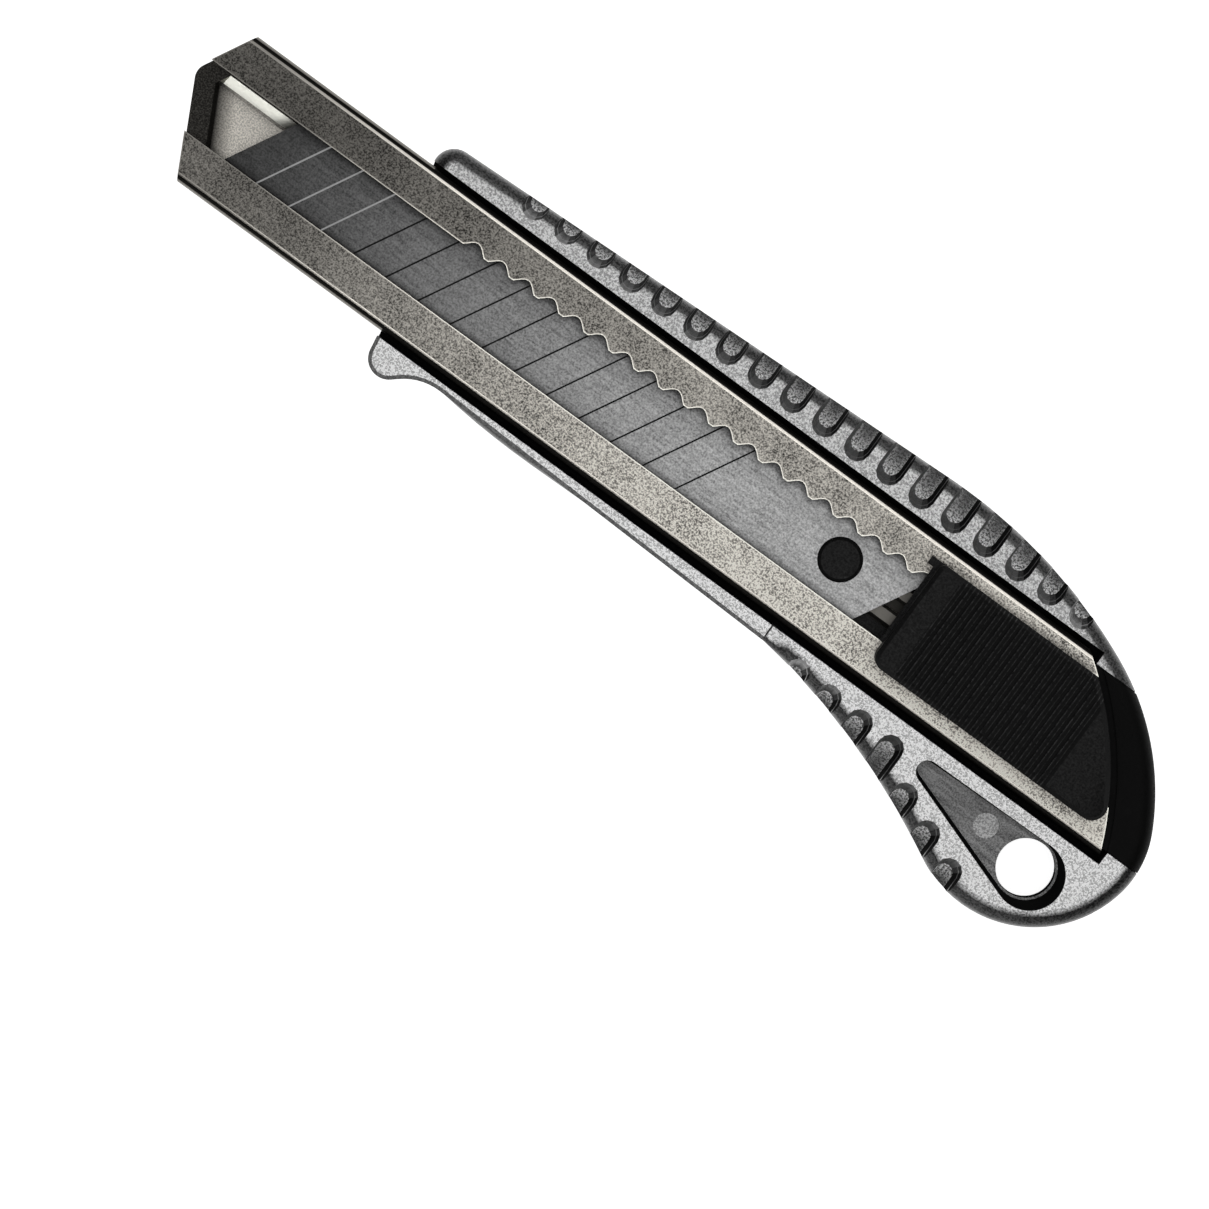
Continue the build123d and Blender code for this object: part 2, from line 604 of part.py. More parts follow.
def neck_plan():
    """Part of the carrier that rises through the slot into the button."""
    half = LIP_SLOT / 2 - NECK_FIT
    front = BUTTON_FRONT + NECK_START
    corners = [at(front, half), at(BUTTON_REAR, half), at(BUTTON_REAR, -half), at(front, -half)]
    wall = Pos(*at(REAR_CENTRE_BACK, REAR_CENTRE_UP)) * Circle(BUTTON_ARC - BUTTON_WALL)
    return make_face(Polyline(*corners, close=True)) & wall


def spring_outline():
    """Lock leaf seen from the front: anchor, arm and a round tooth pointing to the spine."""
    anchor = TOOTH_BACK - SPRING_REACH
    rest_up = LIP_SLOT / 2 - SPRING_THICKNESS * 2
    tip_up = LIP_SLOT / 2 + NOTCH_DEPTH - TOOTH_CLEARANCE
    path = [
        (anchor, SPRING_ANCHOR_UP),
        (anchor + SPRING_GRIP, SPRING_ANCHOR_UP),
        (TOOTH_BACK - TOOTH_FRONT, rest_up),
        (TOOTH_BACK - TOOTH_TIP, tip_up),
        (TOOTH_BACK + TOOTH_TIP, tip_up),
        (TOOTH_BACK + TOOTH_REAR, rest_up),
        (TOOTH_BACK + SPRING_TAIL, rest_up),
    ]
    outer = [at(back, up) for back, up in path]
    inner = [at(back, up - SPRING_THICKNESS) for back, up in reversed(path)]
    face = make_face(Polyline(*outer, *inner, close=True))
    return face


def lock_spring():
    low = BUTTON_UNDER - SPRING_TOP_GAP - SPRING_HEIGHT
    return slab(spring_outline(), low, low + SPRING_HEIGHT)


def blade_carrier():
    """Moulded carrier under the blade, with its peg, window, shoulders and neck."""
    half = INNER_HALF - SIDE_CLEARANCE
    rear = rear_disc(REAR_RADIUS - CAP_TONGUE - TONGUE_GAP, -FAR, FACE + FAR)
    plate = band(PEG_BACK - TONGUE_LENGTH, BUTTON_REAR, half, -half, CARRIER_UNDER, BLADE_UNDER)
    window_front = PEG_BACK + TONGUE_LENGTH
    window_rear = BUTTON_FRONT + NECK_START
    window = band(
        window_front, window_rear, CARRIER_WINDOW / 2, -CARRIER_WINDOW / 2, CARRIER_UNDER, BLADE_UNDER
    )
    peg_plan = Pos(*at(PEG_BACK, BLADE_HOLE_UP)) * Circle(BLADE_HOLE_RADIUS - PEG_CLEARANCE)
    peg = slab(peg_plan, BLADE_UNDER, BLADE_TOP + PEG_TOP)
    peg = chamfer(peg.faces().sort_by(Axis.Z)[-1].edges(), PEG_TOP)
    shoulder_start = BUTTON_FRONT + NECK_START
    shoulders = band(shoulder_start, BUTTON_REAR, half, -half, BLADE_UNDER, LIP_UNDER - SLIDE_CLEARANCE)
    neck = slab(neck_plan(), BLADE_UNDER, BUTTON_UNDER + NECK_KEY)
    low = BUTTON_UNDER - SPRING_TOP_GAP - SPRING_HEIGHT
    room_front = TOOTH_BACK - SPRING_REACH + SPRING_GRIP
    room = band(
        room_front, TOOTH_BACK + SPRING_TAIL + SPRING_ROOM, LIP_SLOT / 2 + NOTCH_DEPTH + SPRING_ROOM,
        SPRING_ANCHOR_UP - SPRING_SWING, low - SPRING_ROOM, BUTTON_UNDER
    )
    slit = band(
        room_front - SPRING_GRIP, room_front, SPRING_ANCHOR_UP, SPRING_ANCHOR_UP - SPRING_THICKNESS,
        low, BUTTON_UNDER
    )
    block = (plate - window + shoulders) & rear
    return block + neck + peg - room - slit


def button_plan():
    """Thumb button outline with its four differently rounded corners."""
    disc = Pos(*at(REAR_CENTRE_BACK, REAR_CENTRE_UP)) * Circle(BUTTON_ARC)
    corners = [
        at(BUTTON_FRONT, BUTTON_SPINE_UP),
        at(BUTTON_REAR + FAR, BUTTON_SPINE_UP),
        at(BUTTON_REAR + FAR, -BUTTON_EDGE_UP),
        at(BUTTON_FRONT, -BUTTON_EDGE_UP),
    ]
    face = make_face(Polyline(*corners, close=True)) & disc
    front = face.vertices().sort_by(Axis.X)[-2:].sort_by(Axis.Y)
    rear = face.vertices().sort_by(Axis.X)[:2].sort_by(Axis.Y)
    rounds = [
        (front[0], CORNER_FRONT_SPINE),
        (front[1], CORNER_FRONT_EDGE),
        (rear[0], CORNER_REAR_SPINE),
        (rear[1], CORNER_REAR_EDGE),
    ]
    for vertex, radius in rounds:
        nearest = face.vertices().sort_by_distance(vertex)[0]
        face = fillet(nearest, radius)
    return face


def bow(run, drop):
    """Radius and turn of an arc that leaves level and falls by a drop over a run."""
    radius = (run**2 + drop**2) / (2 * drop)
    return radius, degrees(asin(run / radius))


def crown_block(raised):
    """Everything under the button's top: a shallow dish for the thumb, then a falling tail."""
    top = BUTTON_UNDER + BUTTON_HEIGHT
    dish_radius, dish_turn = bow(BUTTON_DISH_LENGTH / 4, BUTTON_DISH / 2)
    tail_radius, tail_turn = bow(BUTTON_TAIL_RUN, BUTTON_TAIL_DROP)
    arcs = [
        (dish_radius, -dish_turn),
        (dish_radius, 2 * dish_turn),
        (dish_radius, -dish_turn),
        (tail_radius, -tail_turn),
    ]
    curve = [Line((-BUTTON_HEIGHT, 0), (0, 0))]
    heading = 0.0
    for radius, turn in arcs:
        tangent = (cos(radians(heading)), sin(radians(heading)))
        curve.append(JernArc(curve[-1] @ 1, tangent, radius, turn))
        heading += turn
    end = curve[-1] @ 1
    under = Polyline(end, (end.X, -BUTTON_HEIGHT), (-BUTTON_HEIGHT, -BUTTON_HEIGHT), (-BUTTON_HEIGHT, 0))
    side = Plane(origin=(at(BUTTON_FRONT, 0)[0], -FAR, top + raised), x_dir=(-1, 0, 0), z_dir=(0, 1, 0))
    return extrude(side * Face(Wire([*curve, *under.edges()])), 2 * FAR, dir=(0, 1, 0))


def button_block(plan):
    """Button before its ribs, with the rim of its crown broken."""
    block = slab(plan, BUTTON_UNDER, BUTTON_UNDER + 2 * BUTTON_HEIGHT) & crown_block(0)
    outline = plan.face().outer_wire()
    rim = []
    for edge in block.edges():
        middle = edge @ 0.5
        on_outline = outline.distance_to(Vertex(middle.X, middle.Y, 0)) < TINY
        level = abs(edge.tangent_at(0.5).Z) < 0.5
        if on_outline and level and middle.Z > BUTTON_UNDER + TINY:
            rim.append(edge)
    return chamfer(rim, BUTTON_EDGE)


def grip_ribs(plan):
    """Cross ribs that follow the dished crown, just inside its rim."""
    raised = slab(offset(plan, -RIB_MARGIN), BUTTON_UNDER, BUTTON_UNDER + 2 * BUTTON_HEIGHT)
    raised = raised & crown_block(GRIP_RIB_HEIGHT)
    ribs = Part()
    for index in range(GRIP_RIB_COUNT):
        front = BUTTON_FRONT + GRIP_RIB_START + GRIP_RIB_PITCH * index
        bar = band(front, front + GRIP_RIB_WIDTH, FAR, -FAR, LIP_TOP + BUTTON_HEIGHT / 2, FAR)
        ribs += raised & bar
    return ribs


def front_foot():
    """Thin foot that shows ahead of the button, with a small finger at its spine-side corner."""
    front = BUTTON_FRONT - FLANGE_STEP
    rear = BUTTON_FRONT + FLANGE_ROOT
    top = BUTTON_UNDER + FLANGE_THICKNESS
    foot = band(front, rear, BUTTON_SPINE_UP, -LIP_SLOT / 2, BUTTON_UNDER, top)
    finger_low = BUTTON_SPINE_UP - FINGER_WIDTH
    return foot + band(front - FINGER_REACH, rear, BUTTON_SPINE_UP, finger_low, BUTTON_UNDER, top)


def thumb_button():
    """Ribbed thumb button, hollow where the carrier's neck enters it."""
    plan = button_plan()
    neck_room = slab(neck_plan(), BUTTON_UNDER, BUTTON_UNDER + NECK_KEY)
    return button_block(plan) + grip_ribs(plan) + front_foot() - neck_room


# ------------------------------------------------------------------ end cap

def end_cap(grip):
    """Cap that fills the grip's rear opening, flush with it, with a tongue into the channel."""
    seat_spine = CAP_SEAT_SPINE - CAP_FIT
    seat_edge = CAP_SEAT_EDGE - CAP_FIT
    seat = band(BUTTON_REAR - FAR, BUTTON_REAR + FAR, seat_spine, -seat_edge, POCKET, FACE)
    ahead = band(-FAR, REAR_CENTRE_BACK, FAR, -FAR, -FAR, FACE + FAR)
    shell = (grip & seat) - rear_disc(REAR_RADIUS, -FAR, FACE + FAR) - ahead
    tongue = band(
        REAR_CENTRE_BACK, BUTTON_REAR + FAR, seat_spine, -seat_edge,
        FLOOR + CAP_TONGUE_FIT, LIP_UNDER - CAP_TONGUE_FIT
    )
    tongue = tongue & rear_disc(REAR_RADIUS + CAP_TONGUE_ROOT, -FAR, FACE + FAR)
    tongue = tongue - rear_disc(REAR_RADIUS - CAP_TONGUE, -FAR, FACE + FAR)
    return shell + tongue


# ------------------------------------------------------------------ write the pieces

def build():
    grip = grip_body()
    return {
        "handle_casting": handle_casting(grip),
        "blade_channel": blade_channel(),
        "channel_screw": channel_screw(),
        "snap_off_blade": snap_blade(),
        "blade_carrier": blade_carrier(),
        "lock_spring": lock_spring(),
        "thumb_button": thumb_button(),
        "end_cap": end_cap(grip),
    }


os.makedirs("parts", exist_ok=True)
for name, piece in build().items():
    export_step(piece, f"parts/{name}.step")
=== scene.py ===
import math

import bpy
from mathutils import Matrix, Vector
from mathutils.bvhtree import BVHTree


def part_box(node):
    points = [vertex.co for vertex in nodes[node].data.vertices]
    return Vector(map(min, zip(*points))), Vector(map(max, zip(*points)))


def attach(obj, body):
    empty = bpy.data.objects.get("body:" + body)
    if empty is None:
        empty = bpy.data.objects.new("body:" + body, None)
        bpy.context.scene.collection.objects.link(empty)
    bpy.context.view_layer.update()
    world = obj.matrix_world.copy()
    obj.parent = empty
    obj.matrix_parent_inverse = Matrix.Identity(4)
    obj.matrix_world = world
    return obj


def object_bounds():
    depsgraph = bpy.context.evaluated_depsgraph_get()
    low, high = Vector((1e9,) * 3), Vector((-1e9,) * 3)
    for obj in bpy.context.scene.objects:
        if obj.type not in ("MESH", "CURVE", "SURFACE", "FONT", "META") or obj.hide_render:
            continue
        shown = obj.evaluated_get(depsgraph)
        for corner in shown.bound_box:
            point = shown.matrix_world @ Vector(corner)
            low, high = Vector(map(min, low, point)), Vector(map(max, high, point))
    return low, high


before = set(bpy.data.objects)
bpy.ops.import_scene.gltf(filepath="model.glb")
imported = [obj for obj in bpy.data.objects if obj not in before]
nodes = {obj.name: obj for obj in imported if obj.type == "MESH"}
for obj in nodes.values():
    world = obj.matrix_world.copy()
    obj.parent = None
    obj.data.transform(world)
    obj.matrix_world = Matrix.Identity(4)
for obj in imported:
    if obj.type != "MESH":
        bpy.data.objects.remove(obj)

# Snap-off blade utility knife on a pale floor, seen from straight above.
# Everything is in metres in the CAD frame: +X toward the blade's tip, +Y toward the
# cutting edge, +Z out of the open side of the channel.

MM = 0.001
cad_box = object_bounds()

NOSE = 73 * MM                      # X of the channel's nose
CASTING_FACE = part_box("handle_casting")[1].z
LIP_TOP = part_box("blade_channel")[1].z
BLADE_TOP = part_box("snap_off_blade")[1].z
BUTTON_FOOT_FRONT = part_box("thumb_button")[1].x

# Limits of the casting's painted zones: depths below its face, distances behind the nose, and Y
EDGE_ROUND = 2.2 * MM               # the front edges' rounding
SLOT_FLOOR_TOP = 4.0 * MM           # round the floor of the slot that the channel lies in, painted black as shade
SLOT_FLOOR_BOTTOM = 4.2 * MM
MARK_DEPTH = 4.65 * MM              # between the recess's floor and the ejector pin's mark in it
RECESS_START = 123 * MM
RECESS_CENTRE = 144.25 * MM         # centre of its round end
RECESS_CENTRE_Y = 17.3 * MM
RECESS_REACH = 4.75 * MM            # and just past its radius
RECESS_SLANT = 0.36                 # Y per distance back of the line beside the belly grooves
RECESS_OFFSET = -28.6 * MM          # and where that line starts

# Limits of the channel's painted zones: depths below the lips' top, distances from the centre
# line, and X or Y where it says so
LIP_DEPTH = 0.75 * MM               # just past the lips' thickness
INSIDE_TOP = 1.3 * MM               # under the lips, down to below the floor
INSIDE_BOTTOM = 4.5 * MM
BEAD_TOP = 2.85 * MM                # just under the top of the floor beads and the nose's rim
BEAD_SLOPE = 3.4 * MM
FOLD_START = 9.1 * MM
INSIDE_WIDTH = 9.3 * MM
TRAY_REAR = 50 * MM                 # X just behind the nose's sunk tray
TRAY_SIDE = -3.0 * MM               # Y of its slope on the spine side
NOSE_CUT = (-0.881, -0.472)         # direction square to the nose's edge-side cut
TRAY_SHADOW = (-60.4 * MM, -57.8 * MM)  # painted shadow's two ends in that direction
GRIP_FRONT_SPINE = 41.5 * MM        # X about where the channel leaves the casting
GRIP_FRONT_EDGE = 35 * MM

# Limits of the blade's painted zones
SCORE_SLANT = -0.536                # straightens the score lines' slant: added per Y to X
SCORE_TOP = 0.03 * MM               # score lines' floors, as depths below the blade's face
SCORE_BOTTOM = 0.13 * MM
BEVEL_START = 6.85 * MM             # Y where the flat ends
PALE_SCORES = (43.5 * MM, 43.7 * MM)  # score lines ahead of this are painted as catching the light

# Button
BUTTON_FOOT = 1.35 * MM             # foot and finger ahead of the button
RIB_SETBACK = 3.4 * MM
RIB_PITCH = 1.17 * MM
RIB_COUNT = 20.0
RIB_SHARE = 0.53                    # rib's width over the pitch

STEEL_METALLIC = 0.35               # shiny steel stays partly matt, so low views aren't black
STEEL_GAIN = 1.58                   # and is painted this much brighter to make up for it
WORLD_HORIZON = 1.15                # surround's strength below the ramp, and above it
WORLD_TOP = 0.22
WORLD_RAMP = (0.70, 0.97)           # from and to these heights of the direction looked in


# ------------------------------------------------------------------ node helpers

class Graph:
    """Short way to add shader nodes to one material and link them."""

    def __init__(self, name):
        self.material = bpy.data.materials.new(name)
        self.material.use_nodes = True
        self.tree = self.material.node_tree
        self.tree.nodes.clear()
        self.shader = self.add("ShaderNodeBsdfPrincipled")
        output = self.add("ShaderNodeOutputMaterial")
        self.tree.links.new(self.shader.outputs["BSDF"], output.inputs["Surface"])
        coordinates = self.add("ShaderNodeTexCoord")
        self.place = coordinates.outputs["Object"]
        self.normal = coordinates.outputs["Normal"]

    def add(self, kind, **settings):
        """A new node with its settings."""
        node = self.tree.nodes.new(kind)
        for key, value in settings.items():
            setattr(node, key, value)
        return node

    def link(self, source, target):
        self.tree.links.new(source, target)

    def feed(self, socket, value):
        """Links an output or sets a plain value."""
        if isinstance(value, bpy.types.NodeSocket):
            self.link(value, socket)
        else:
            socket.default_value = value

    def stretch(self, scale, turn=0.0):
        """Object coordinates scaled per axis, for brushed or streaked grain."""
        node = self.add("ShaderNodeMapping")
        self.link(self.place, node.inputs["Vector"])
        node.inputs["Scale"].default_value = scale
        node.inputs["Rotation"].default_value = (0.0, 0.0, turn)
        return node.outputs["Vector"]

    def noise(self, scale, detail=3.0, roughness=0.55, vector=None):
        """Fractal noise over the object's own place or another vector."""
        node = self.add("ShaderNodeTexNoise")
        self.link(vector or self.place, node.inputs["Vector"])
        node.inputs["Scale"].default_value = scale
        node.inputs["Detail"].default_value = detail
        node.inputs["Roughness"].default_value = roughness
        return node.outputs["Fac"]

    def remap(self, value, low, high, to_low=0.0, to_high=1.0):
        """Carries one range over to another and stops at its ends."""
        node = self.add("ShaderNodeMapRange", clamp=True)
        self.feed(node.inputs["Value"], value)
        node.inputs["From Min"].default_value = low
        node.inputs["From Max"].default_value = high
        node.inputs["To Min"].default_value = to_low
        node.inputs["To Max"].default_value = to_high
        return node.outputs["Result"]

    def math(self, operation, first, second=0.0):
        """Any other operation of the math node."""
        node = self.add("ShaderNodeMath", operation=operation)
        self.feed(node.inputs[0], first)
        self.feed(node.inputs[1], second)
        return node.outputs["Value"]

    def plus(self, *values):
        """Sum of all the values."""
        result = values[0]
        for value in values[1:]:
            result = self.math("ADD", result, value)
        return result

    def minus(self, first, second):
        return self.math("SUBTRACT", first, second)

    def times(self, *values):
        """Product of all the values; of masks, 1 where all of them are 1."""
        result = values[0]
        for value in values[1:]:
            result = self.math("MULTIPLY", result, value)
        return result

    def greatest(self, first, second):
        return self.math("MAXIMUM", first, second)

    def gap(self, first, second):
        """Distance between two numbers."""
        return self.math("ABSOLUTE", self.minus(first, second))

    def without(self, mask):
        """1 where a mask is 0."""
        return self.minus(1.0, mask)

    def axis(self, name):
        """One coordinate of the object's own place."""
        node = self.add("ShaderNodeSeparateXYZ")
        self.link(self.place, node.inputs["Vector"])
        return node.outputs[name]

    def across(self):
        """Distance from the channel's centre line."""
        return self.math("ABSOLUTE", self.axis("Y"))

    def facing(self, name="Z"):
        """How far the surface faces up, or along another of the object's own axes."""
        node = self.add("ShaderNodeSeparateXYZ")
        self.link(self.normal, node.inputs["Vector"])
        return node.outputs[name]

    def over(self, value, limit):
        return self.math("GREATER_THAN", value, limit)

    def under(self, value, limit):
        return self.math("LESS_THAN", value, limit)

    def rims(self, distance, low, high):
        """1 along sharp outer edges, 0 away from them."""
        node = self.add("ShaderNodeAmbientOcclusion", samples=12, only_local=True, inside=True)
        node.inputs["Distance"].default_value = distance
        return self.remap(node.outputs["AO"], high, low)

    def level(self, low, high):
        """Rises from 0 at one height to 1 at another."""
        return self.remap(self.axis("Z"), low, high)

    def hollow(self, distance, low, high, floor=0.0, local=True):
        """Rises to 1 from deep in a hollow to the open."""
        node = self.add("ShaderNodeAmbientOcclusion", samples=12, only_local=local)
        node.inputs["Distance"].default_value = distance
        return self.remap(node.outputs["AO"], low, high, floor)

    def choose(self, factor, first, second):
        """Plain numbers mixed by a factor."""
        node = self.add("ShaderNodeMix", data_type="FLOAT")
        self.feed(node.inputs[0], factor)
        self.feed(node.inputs[2], first)
        self.feed(node.inputs[3], second)
        return node.outputs[0]

    def tone(self, value, warmth=0.0):
        """A grey of the given brightness."""
        return self.mix(value, grey(0.0), grey(1.0, warmth))

    def mix(self, factor, first, second):
        """Colours mixed by a factor."""
        node = self.add("ShaderNodeMix", data_type="RGBA")
        self.feed(node.inputs["Factor"], factor)
        self.feed(node.inputs["A"], first)
        self.feed(node.inputs["B"], second)
        return node.outputs["Result"]

    def bump(self, height, strength, distance):
        """Surface direction tilted by a height pattern."""
        node = self.add("ShaderNodeBump")
        node.inputs["Strength"].default_value = strength
        node.inputs["Distance"].default_value = distance
        self.link(height, node.inputs["Height"])
        return node.outputs["Normal"]

    def set(self, **values):
        """Shader inputs by name, with spaces written as underscores."""
        for key, value in values.items():
            self.feed(self.shader.inputs[key.replace("_", " ")], value)


def grey(level, warmth=0.0):
    """Plain colour of one brightness, a little redder and less blue when warm."""
    return (level * (1 + warmth), level, level * (1 - 1.8 * warmth), 1.0)


# ------------------------------------------------------------------ casting

def casting_outside(g, grit):
    """Sparkling flats with painted light and rounded edges with painted shade, lighter toward the
    cutting edge by painted light.
    """
    rise = g.facing()
    # painted light: lighter toward the cutting edge
    side = g.remap(g.axis("Y"), -9 * MM, 9 * MM, 0.80, 1.12)
    flat = g.tone(g.times(side, g.remap(grit, 0.0, 1.0, 0.34, 1.0)))
    # painted shade on the rounded edges, darker the further they turn from up
    dark = g.tone(g.remap(rise, 0.2, 0.6, 0.16, 0.04))
    pale = g.tone(g.remap(rise, 0.2, 0.6, 0.32, 0.12))
    near_face = g.level(CASTING_FACE - 0.8 * MM, CASTING_FACE - 0.2 * MM)
    # painted light on the flats near the face
    lit_flat = g.times(g.remap(rise, 0.95, 0.9995), near_face)
    return g.mix(lit_flat, g.mix(grit, dark, pale), flat)


def groove_mask(g):
    """1 in the grip's grooves: shut in, or steeper or flatter than the rounded edge at that depth."""
    rise = g.facing()
    depth = g.minus(CASTING_FACE, g.axis("Z"))
    shut_in = g.times(g.without(g.hollow(2.5 * MM, 0.40, 0.65)), g.over(depth, 0.02 * MM))
    round_rise = g.remap(depth, 0.0, EDGE_ROUND, 1.0, 0.0)
    off_round = g.over(g.gap(rise, round_rise), 0.10)
    wall = g.times(off_round, g.over(rise, 0.08), g.under(rise, 0.90), g.over(depth, 0.05 * MM))
    return g.greatest(shut_in, wall)


def groove_colour(g, grit, back, turned_back):
    """Groove floors with painted light and walls with painted shade, painted lighter where they are
    turned to the rear.
    """
    rise = g.facing()
    # floors facing up painted light, sloping faces painted darker as shade
    sunk = g.mix(grit, grey(0.08), grey(0.90))
    sloping = g.mix(grit, grey(0.08), grey(0.20))
    # painted shadow on the steep walls, deeper toward the rear
    shadow = g.tone(g.remap(back, 70 * MM, 100 * MM, 0.06, 0.018))
    # steep walls turned to the rear painted lighter
    steep = g.mix(turned_back, shadow, g.mix(grit, grey(0.10), grey(0.45)))
    return g.mix(g.remap(rise, 0.20, 0.26), steep, g.mix(g.remap(rise, 0.90, 0.96), sloping, sunk))


def recess_mask(g, back):
    """1 in the teardrop recess before the lanyard hole."""
    past = g.greatest(g.minus(back, RECESS_CENTRE), 0.0)
    beside = g.minus(g.axis("Y"), RECESS_CENTRE_Y)
    reach = g.math("SQRT", g.plus(g.times(past, past), g.times(beside, beside)))
    slant = g.minus(g.axis("Y"), g.times(back, RECESS_SLANT))
    return g.times(
        g.over(back, RECESS_START),
        g.under(g.axis("Z"), CASTING_FACE - 0.1 * MM),
        g.under(reach, RECESS_REACH),
        g.under(slant, RECESS_OFFSET),
    )


def recess_colour(g, grit):
    """Streaked floor with the pale ejector mark, between walls painted nearly black as shade."""
    streaks = g.noise(900.0, 3.0, 0.6, g.stretch((0.25, 2.0, 1.0), math.radians(8.0)))
    dark = g.mix(grit, grey(0.06), grey(0.20))
    pale = g.mix(grit, grey(0.16), grey(0.36))
    web = g.mix(g.remap(streaks, 0.35, 0.65), dark, pale)
    mark = g.under(g.axis("Z"), CASTING_FACE - MARK_DEPTH)
    web = g.mix(mark, web, g.mix(grit, grey(0.20), grey(0.60)))
    # walls painted nearly black as shade
    return g.mix(g.remap(g.facing(), 0.90, 0.96), grey(0.012), web)


def cast_metal(name="cast_metal", grooved=True):
    """Tumbled zinc casting: sparkling flats with painted light, darker rounded edges, and walls and
    hollows with painted shade.
    """
    g = Graph(name)
    rise = g.facing()
    back = g.minus(NOSE, g.axis("X"))
    grain = g.noise(3600.0, 1.0)
    fine = g.noise(6200.0, 1.0)
    grit = g.remap(g.plus(grain, g.times(fine, 0.6)), 0.68, 0.92)
    # walls turned to the rear, painted lighter
    turned_back = g.times(g.under(g.facing("X"), -0.3), g.remap(back, 75 * MM, 95 * MM))
    in_groove = groove_mask(g)
    in_recess = recess_mask(g, back)
    # floor of the slot under the channel, painted nearly black as shade
    slot_floor = g.times(
        g.over(g.axis("Z"), CASTING_FACE - SLOT_FLOOR_BOTTOM),
        g.under(g.axis("Z"), CASTING_FACE - SLOT_FLOOR_TOP),
        g.over(rise, 0.9),
        g.without(in_recess),
    )

    body = casting_outside(g, grit)
    if grooved:
        body = g.mix(in_groove, body, groove_colour(g, grit, back, turned_back))
    body = g.mix(in_recess, body, recess_colour(g, grit))
    body = g.mix(slot_floor, body, grey(0.003))
    # groove and recess walls painted dark as shade, made non-metallic so the painted shade shows
    dark_wall = g.times(g.greatest(g.minus(in_groove, turned_back), 0.0), g.under(rise, 0.24))
    matt_shaded_walls = g.times(g.greatest(dark_wall, in_recess), g.under(rise, 0.50), g.over(rise, -0.50))
    g.set(
        # painted shade deep in the hollows
        Base_Color=g.mix(g.hollow(1.6 * MM, 0.02, 0.25), grey(0.004), body),
        Metallic=g.without(matt_shaded_walls),
        Specular_IOR_Level=0.0,
        Roughness=g.remap(grain, 0.3, 0.7, 0.36, 0.52),
    )
    g.set(Normal=g.bump(grit, 0.3, 0.03 * MM))
    return g.material


# ------------------------------------------------------------------ channel and blade

def lip_shade(g, patch):
    """Brightness of the lips: painted shade darkening them toward the nose and toward the spine, and
    paler beside the folds at the rear.
    """
    # painted shade toward the nose
    nose_shade = g.remap(g.axis("X"), -12 * MM, 52 * MM, 0.45, 0.112)
    # painted shade toward the spine side
    side = g.remap(g.axis("Y"), -4 * MM, 4 * MM, 0.62, 1.0)
    # paler strip beside the folds toward the rear
    beside_fold = g.remap(g.across(), 8.2 * MM, 8.7 * MM)
    paler_by_folds = g.times(beside_fold, g.remap(g.axis("X"), -22 * MM, -50 * MM, 0.0, 0.45))
    return g.times(nose_shade, side, patch, g.plus(paler_by_folds, 1.0))


def inside_shade(g, mottle, patch, tray_slope, ahead):
    """Brightness of the floor, painted dark as shade with painted highlights on the bead crowns, and of
    the pale tray sunk into the nose's dark rim, with a painted highlight on its slope and painted shade
    at its foot and spine side.
    """
    beads = g.level(LIP_TOP - BEAD_SLOPE, LIP_TOP - BEAD_TOP)
    # painted highlight on the bead crowns
    crown = g.times(beads, g.remap(g.facing(), 0.80, 0.97))
    # floor behind the tray painted dark as shade
    floor = g.times(g.remap(crown, 0.0, 1.0, 0.030, 0.15), g.without(ahead))
    foot = g.plus(g.times(g.axis("X"), NOSE_CUT[0]), g.times(g.axis("Y"), NOSE_CUT[1]))
    # painted shadow at the foot of the nose's edge-side cut
    lit = g.remap(foot, *TRAY_SHADOW, 0.03, 1.0)
    # painted shade toward the spine side
    shaded = g.remap(g.axis("Y"), -3.2 * MM, -1.6 * MM, 0.55, 1.0)
    tray = g.times(lit, shaded, g.remap(patch, 0.4, 1.6, 0.28, 0.58))
    # painted highlight on the tray's slope
    tray = g.choose(tray_slope, tray, 1.0)
    rim = g.remap(mottle, 0.4, 0.7, 0.010, 0.045)
    tray = g.choose(g.over(g.axis("Z"), LIP_TOP - BEAD_TOP), tray, rim)
    return g.plus(floor, g.times(tray, ahead))


def fold_shade(g):
    """Brightness of the folds, painted dark as shade with a painted highlight along each, and of the
    side walls, painted black as shade inside the casting and paler ahead of it.
    """
    rise = g.facing()
    # painted highlight along the start of each fold, fading toward the nose
    glint = g.remap(g.axis("X"), 38 * MM, 66 * MM, 0.95, 0.30)
    clear = g.over(g.axis("X"), g.choose(g.over(g.axis("Y"), 0.0), GRIP_FRONT_SPINE, GRIP_FRONT_EDGE))
    # side walls painted black as shade inside the casting
    wall = g.choose(clear, 0.012, g.remap(rise, 0.0, 0.3, 0.35, 0.17))
    # rest of each fold painted dark as shade
    fold = g.choose(g.remap(rise, 0.955, 0.975), 0.010, glint)
    return g.choose(g.remap(rise, 0.70, 0.76), wall, fold)


